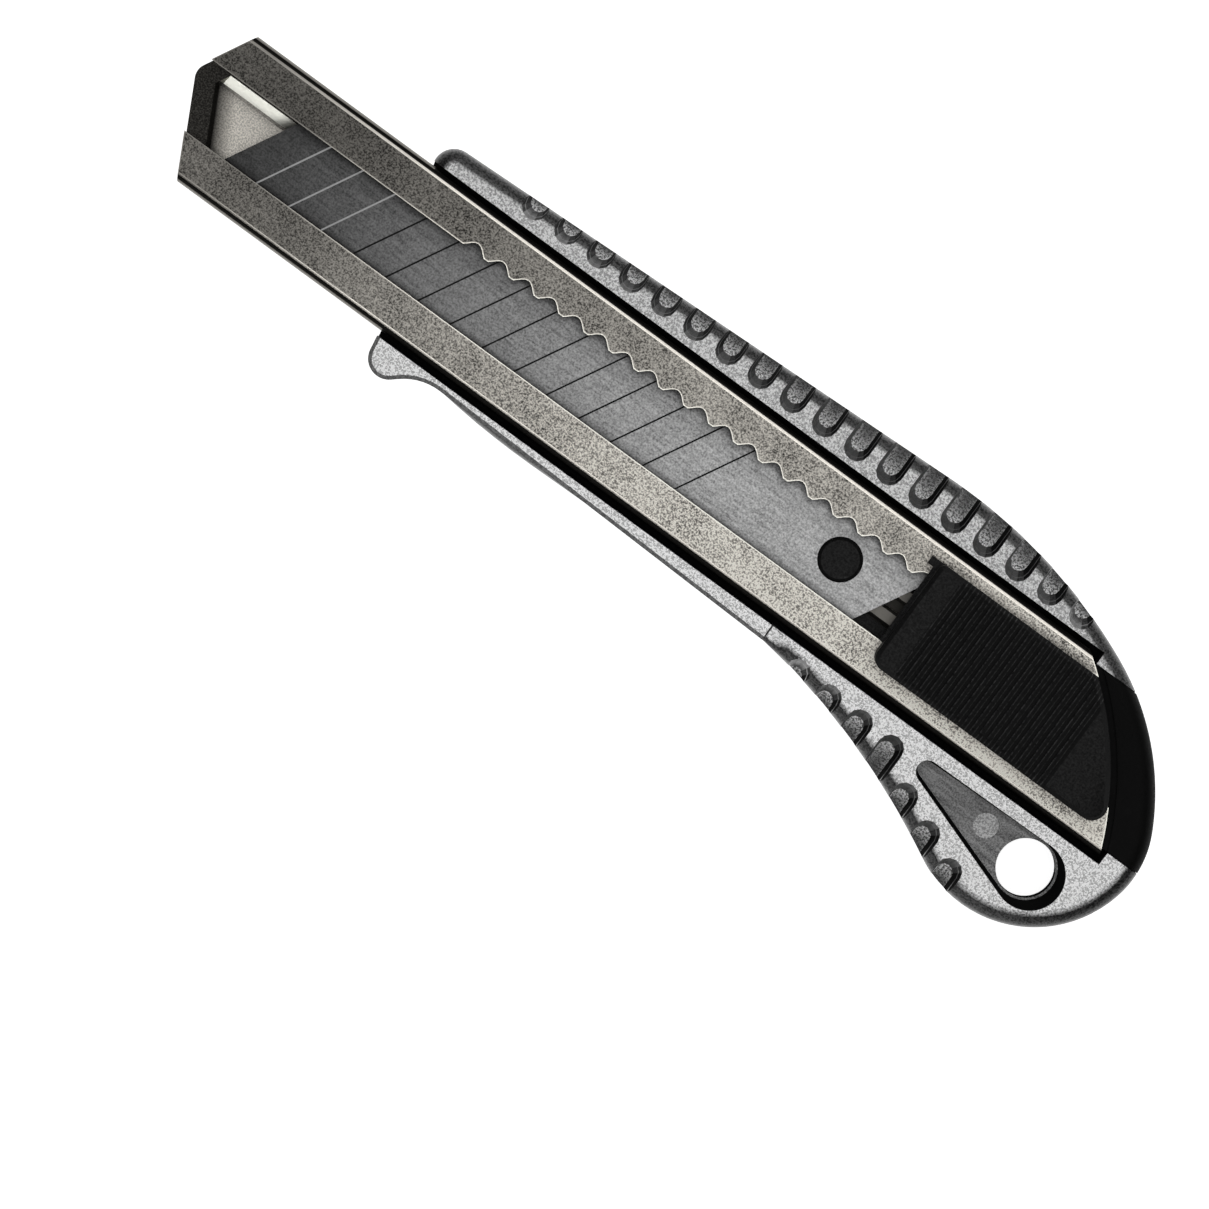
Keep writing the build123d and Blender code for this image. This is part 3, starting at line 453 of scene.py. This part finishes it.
def channel_steel():
    """Rolled sheet steel, warm grey and mottled, with painted shade toward the nose and painted
    highlights along its cut edges.
    """
    g = Graph("channel_steel")
    rise = g.facing()
    across = g.across()
    mottle = g.noise(4800.0, 1.0)
    blotch = g.noise(160.0, 3.0)
    patch = g.plus(g.remap(mottle, 0.34, 0.66, 0.25, 1.70), g.remap(blotch, 0.35, 0.65, -0.16, 0.16))

    inside = g.times(
        g.over(g.axis("Z"), LIP_TOP - INSIDE_BOTTOM),
        g.under(g.axis("Z"), LIP_TOP - INSIDE_TOP),
        g.under(across, INSIDE_WIDTH),
        g.over(rise, 0.2),
    )
    ahead = g.over(g.axis("X"), TRAY_REAR)
    tray_slope = g.times(g.under(rise, 0.995), g.under(g.axis("Y"), TRAY_SIDE))
    folded = g.times(g.over(across, FOLD_START), g.under(rise, 0.9995))
    lips = g.times(g.without(folded), g.over(g.axis("Z"), LIP_TOP - LIP_DEPTH))
    # sides of the cut edges painted nearly black as shade
    cut_edge = g.times(lips, g.under(rise, 0.985))
    # painted highlight along the cut edges on the lips' top
    edge_highlight = g.times(lips, g.over(rise, 0.985), g.rims(0.28 * MM, 0.55, 0.85))

    sheet = g.choose(inside, lip_shade(g, patch), inside_shade(g, mottle, patch, tray_slope, ahead))
    sheet = g.choose(folded, sheet, fold_shade(g))
    sheet = g.choose(cut_edge, sheet, 0.02)
    # painted highlight, fading toward the nose
    sheet = g.choose(edge_highlight, sheet, g.remap(g.axis("X"), 30 * MM, 60 * MM, 1.0, 0.22))
    # painted highlights and folds stay fully metallic, the rest is painted brighter
    fully_metallic = g.greatest(g.times(inside, tray_slope, ahead), g.greatest(edge_highlight, folded))
    g.set(
        Base_Color=g.tone(g.times(sheet, g.choose(fully_metallic, STEEL_GAIN, 1.0)), 0.05),
        Metallic=g.choose(fully_metallic, STEEL_METALLIC, 1.0),
        Specular_IOR_Level=0.0,
        Roughness=g.remap(mottle, 0.3, 0.7, 0.28, 0.42),
    )
    g.set(Normal=g.bump(mottle, 0.25, 0.02 * MM))
    return g.material


def blade_steel():
    """Ground blade steel with painted shade toward the tip and under the lips, and score lines painted
    dark as shade that turn to painted highlights near the tip.
    """
    g = Graph("blade_steel")
    grind = g.noise(2600.0, 2.0, 0.5, g.stretch((0.12, 1.0, 1.0)))
    speck = g.noise(4200.0, 1.0)
    cloud = g.noise(60.0, 3.0)
    # painted shade toward the tip
    nose_shade = g.remap(g.axis("X"), -15 * MM, 60 * MM, 0.32, 0.062)
    # more painted shade toward the tip
    dark_tip = g.remap(g.axis("X"), 15 * MM, 55 * MM, 1.0, 0.70)
    patch = g.plus(
        g.remap(speck, 0.3, 0.7, 0.60, 1.40),
        g.remap(grind, 0.3, 0.7, -0.20, 0.20),
        g.remap(cloud, 0.3, 0.7, -0.08, 0.08),
    )
    # darker on the spine side of the line at Y -2.4 mm
    spine_band = g.remap(g.axis("Y"), -2.45 * MM, -2.3 * MM, 0.86, 1.0)
    # painted shadow under the lips' edges
    under_lips = g.hollow(1.4 * MM, 0.50, 0.93, 0.12, local=False)
    sheet = g.times(nose_shade, dark_tip, patch, spine_band, under_lips)
    depth = g.minus(BLADE_TOP, g.axis("Z"))
    scored = g.times(
        g.over(depth, SCORE_TOP),
        g.under(depth, SCORE_BOTTOM),
        g.under(g.axis("Y"), BEVEL_START),
    )
    front = g.plus(g.axis("X"), g.times(g.axis("Y"), SCORE_SLANT))
    # score lines painted dark as shade, and as painted highlights ahead of PALE_SCORES
    sheet = g.choose(scored, sheet, g.remap(front, *PALE_SCORES, 0.008, 0.30))
    g.set(
        Base_Color=g.tone(g.times(sheet, STEEL_GAIN)),
        Metallic=STEEL_METALLIC,
        Specular_IOR_Level=0.0,
        Roughness=g.remap(speck, 0.3, 0.7, 0.30, 0.38),
    )
    g.set(Normal=g.bump(g.plus(grind, speck), 0.10, 0.012 * MM))
    return g.material


# ------------------------------------------------------------------ small parts and floor

def rib_light_and_shade(g, shade):
    """Button's ribbed stretch darkened with painted shade, with a painted highlight along both edges of
    each rib, broken up by noise.
    """
    first_rib = BUTTON_FOOT_FRONT - BUTTON_FOOT - RIB_SETBACK
    along = g.math("DIVIDE", g.minus(first_rib, g.axis("X")), RIB_PITCH)
    place = g.math("FRACT", along)
    rib_edge = g.plus(g.under(place, 0.13), g.under(g.gap(place, RIB_SHARE), 0.07))
    ribbed = g.times(g.over(along, 0.0), g.under(along, RIB_COUNT))
    # noise that breaks the painted highlight into dots
    edge_highlight = g.remap(g.noise(2200.0, 2.0, 0.7), 0.35, 0.68)
    # painted shade over the ribbed stretch
    shade = g.times(shade, g.choose(ribbed, 1.0, 0.30))
    # painted highlight along the rib edges
    return g.choose(g.times(rib_edge, ribbed, edge_highlight), shade, 0.055)


def black_plastic(name, level, ribbed=False):
    """Moulded plastic with a fine spark texture, paler spots from rubbing, and faces turned from up
    painted darker as shade.
    """
    g = Graph(name)
    spark = g.noise(3800.0, 2.0, 0.6)
    rub = g.remap(g.noise(420.0, 5.0, 0.7), 0.58, 0.78, 0.75, 1.5)
    shade = g.times(g.remap(spark, 0.35, 0.65, 0.4 * level, 1.6 * level), rub)
    # faces turned away from up painted darker as shade
    shade = g.times(shade, g.remap(g.facing(), 0.90, 0.98, 0.35, 1.0))
    if ribbed:
        shade = rib_light_and_shade(g, shade)
    g.set(
        Base_Color=g.tone(shade),
        Roughness=g.remap(spark, 0.3, 0.7, 0.50, 0.70),
        Specular_IOR_Level=0.10,
    )
    g.set(Normal=g.bump(spark, 0.4, 0.05 * MM))
    return g.material


def zinc_steel():
    """Blue-passivated screw."""
    g = Graph("zinc_steel")
    mottle = g.noise(1800.0, 3.0)
    g.set(
        Base_Color=g.mix(g.remap(mottle, 0.35, 0.65), (0.22, 0.30, 0.36, 1.0), (0.40, 0.48, 0.54, 1.0)),
        Metallic=1.0,
        Roughness=g.remap(mottle, 0.3, 0.7, 0.22, 0.36),
    )
    return g.material


def spring_steel():
    """Dark rolled leaf."""
    g = Graph("spring_steel")
    mottle = g.noise(2500.0, 2.0)
    g.set(
        Base_Color=g.mix(mottle, grey(0.24), grey(0.36)),
        Metallic=1.0,
        Roughness=g.remap(mottle, 0.3, 0.7, 0.25, 0.38),
    )
    return g.material


def floor_paint():
    """Pale, evenly lit table."""
    g = Graph("floor_paint")
    tone = g.noise(30.0, 3.0)
    pale = g.mix(tone, grey(0.88), grey(0.92))
    g.set(
        Base_Color=pale,
        Roughness=g.remap(tone, 0.3, 0.7, 0.75, 0.85),
        Emission_Color=pale,
        Emission_Strength=1.0,
    )
    return g.material


# ------------------------------------------------------------------ pieces

FINISH = {
    "handle_casting": cast_metal(),
    "blade_channel": channel_steel(),
    "channel_screw": zinc_steel(),
    "snap_off_blade": blade_steel(),
    "blade_carrier": black_plastic("carrier_plastic", 0.026),
    "lock_spring": spring_steel(),
    "thumb_button": black_plastic("button_plastic", 0.026, ribbed=True),
    "end_cap": black_plastic("cap_plastic", 0.003),
}
EDGE_WIDTH = {
    "handle_casting": 0.25 * MM,
    "blade_channel": 0.2 * MM,
    "channel_screw": 0.12 * MM,
    "snap_off_blade": 0.03 * MM,
    "blade_carrier": 0.12 * MM,
    "thumb_button": 0.12 * MM,
    "end_cap": 0.18 * MM,
}


def paint(node, material):
    """Puts a finish on all of a CAD node."""
    for material_slot in nodes[node].material_slots:
        material_slot.material = material


def soften_edges(node, width):
    """Small round on every sharp edge of a CAD node, so that edges catch the light."""
    bevel = nodes[node].modifiers.new("edge_round", "BEVEL")
    bevel.width = width
    bevel.segments = 2
    bevel.limit_method = "ANGLE"
    bevel.angle_limit = math.radians(32.0)
    bevel.harden_normals = True


def slab_faces(rows, columns):
    """Faces of a closed slab whose points are a grid on top, then the same grid below."""
    stride = columns + 1
    below = (rows + 1) * stride
    faces = []
    for row in range(rows):
        for column in range(columns):
            a = row * stride + column
            b, c, d = a + 1, a + stride + 1, a + stride
            faces.append((d, c, b, a))
            faces.append((below + a, below + b, below + c, below + d))
    ring = list(range(columns))
    ring += [row * stride + columns for row in range(rows)]
    ring += [rows * stride + column for column in range(columns, 0, -1)]
    ring += [row * stride for row in range(rows, 0, -1)]
    for first, second in zip(ring, ring[1:] + ring[:1]):
        faces.append((first, second, below + second, below + first))
    return faces


def add_rail_blend():
    """Tapered lip that eases the guard's straight rail into the rounded edge behind it."""
    rows, columns = 18, 12
    length = 5.2 * MM
    width = 2.4 * MM
    lap = 0.6 * MM                  # over the rail's own end
    rail_break = 0.5 * MM           # rail's bevelled edge
    proud, sunk = 0.01 * MM, -0.02 * MM
    casting = nodes["handle_casting"].data
    corners = [vertex.co for vertex in casting.vertices]
    tree = BVHTree.FromPolygons(corners, [polygon.vertices[:] for polygon in casting.polygons])
    outside = 50 * MM               # start of the rays, clear of the casting

    def outline(x):
        """Y of the casting's edge side."""
        return tree.ray_cast(Vector((x, outside, 7 * MM)), Vector((0, -1, 0)))[0].y

    def height(x, inset):
        """Z of the casting's top, in from its edge side."""
        return tree.ray_cast(Vector((x, outline(x) - inset, outside)), Vector((0, 0, -1)))[0].z

    rail_end = -5 * MM              # on the rail, from where its end is looked for
    while height(rail_end, 0.3 * MM) > CASTING_FACE - 0.6 * MM:
        rail_end -= 0.05 * MM
    top, bottom = [], []
    for row in range(rows + 1):
        x = rail_end + lap - row / rows * length
        behind = max(rail_end - x, 0.0)
        share = (1 + math.cos(math.pi * behind / (length - lap))) / 2
        for column in range(columns + 1):
            inset = width * column / columns
            low = height(min(x, rail_end), max(inset, 0.01 * MM))
            rail = CASTING_FACE - max(rail_break - inset, 0.0)
            seam = row == rows or column == columns
            y = outline(x) - inset
            top.append((x, y, low + share * max(rail - low, 0.0) + (sunk if seam else proud)))
            bottom.append((x, y - 0.05 * MM, low - 0.3 * MM))

    mesh = bpy.data.meshes.new("rail_blend")
    mesh.from_pydata(top + bottom, [], slab_faces(rows, columns))
    for polygon in mesh.polygons[: 2 * rows * columns]:
        polygon.use_smooth = True
    mesh.materials.append(cast_metal("rail_metal", grooved=False))
    piece = bpy.data.objects.new("rail_blend", mesh)
    bpy.context.scene.collection.objects.link(piece)
    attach(piece, "grip")


for node, material in FINISH.items():
    paint(node, material)
for node, width in EDGE_WIDTH.items():
    soften_edges(node, width)
add_rail_blend()


# ------------------------------------------------------------------ stage

def add_floor():
    """Flat sheet just under the knife."""
    half = 1.2
    mesh = bpy.data.meshes.new("floor")
    corners = [(-half, -half, 0), (half, -half, 0), (half, half, 0), (-half, half, 0)]
    mesh.from_pydata(corners, [], [(0, 1, 2, 3)])
    floor = bpy.data.objects.new("floor", mesh)
    floor.location.z = cad_box[0][2] - 0.02 * MM
    floor.data.materials.append(floor_paint())
    bpy.context.scene.collection.objects.link(floor)


def add_area(name, place, target, size, power):
    """Soft rectangular lamp turned toward a point."""
    light = bpy.data.lights.new(name, "AREA")
    light.shape = "RECTANGLE"
    light.size, light.size_y = size
    light.energy = power
    lamp = bpy.data.objects.new(name, light)
    lamp.location = place
    lamp.rotation_euler = (Vector(target) - Vector(place)).to_track_quat("-Z", "Y").to_euler()
    bpy.context.scene.collection.objects.link(lamp)


def add_world():
    """Bright studio surround that darkens straight overhead."""
    world = bpy.data.worlds.new("studio")
    bpy.context.scene.world = world
    world.use_nodes = True
    tree = world.node_tree
    direction = tree.nodes.new("ShaderNodeTexCoord")
    height = tree.nodes.new("ShaderNodeSeparateXYZ")
    shade = tree.nodes.new("ShaderNodeMapRange")
    tree.links.new(direction.outputs["Generated"], height.inputs["Vector"])
    tree.links.new(height.outputs["Z"], shade.inputs["Value"])
    shade.inputs["From Min"].default_value = WORLD_RAMP[0]
    shade.inputs["From Max"].default_value = WORLD_RAMP[1]
    shade.inputs["To Min"].default_value = WORLD_HORIZON
    shade.inputs["To Max"].default_value = WORLD_TOP
    tree.links.new(shade.outputs["Result"], tree.nodes["Background"].inputs["Strength"])


def add_camera():
    """Camera above the knife's front half, aimed at the middle of the photograph's frame."""
    place = Vector((3.0, -12.5, 660.5)) * MM
    target = Vector((-7.95, 21.51, 10.5)) * MM
    picture_up = Vector((0.59, -0.8057, 0.0))
    camera = bpy.data.cameras.new("camera")
    camera.lens = 153.93
    camera.sensor_width = 36.0
    viewer = bpy.data.objects.new("camera", camera)
    back = (place - target).normalized()
    right = picture_up.cross(back).normalized()
    up = back.cross(right)
    viewer.matrix_world = Matrix.Translation(place) @ Matrix((right, up, back)).transposed().to_4x4()
    bpy.context.scene.collection.objects.link(viewer)
    bpy.context.scene.camera = viewer


add_floor()
add_world()
add_area("top", (-0.05, 0.0, 0.95), (-0.05, 0.0, 0.0), (0.90, 0.46), 2.0)
add_area("spine_side", (0.0, -0.56, 0.66), (0.0, 0.0, 0.0), (1.1, 0.45), 2.0)
add_area("edge_side", (0.0, 0.72, 0.42), (0.0, 0.0, 0.0), (1.1, 0.25), 1.3)
add_camera()

bpy.context.scene.view_settings.view_transform = "Standard"
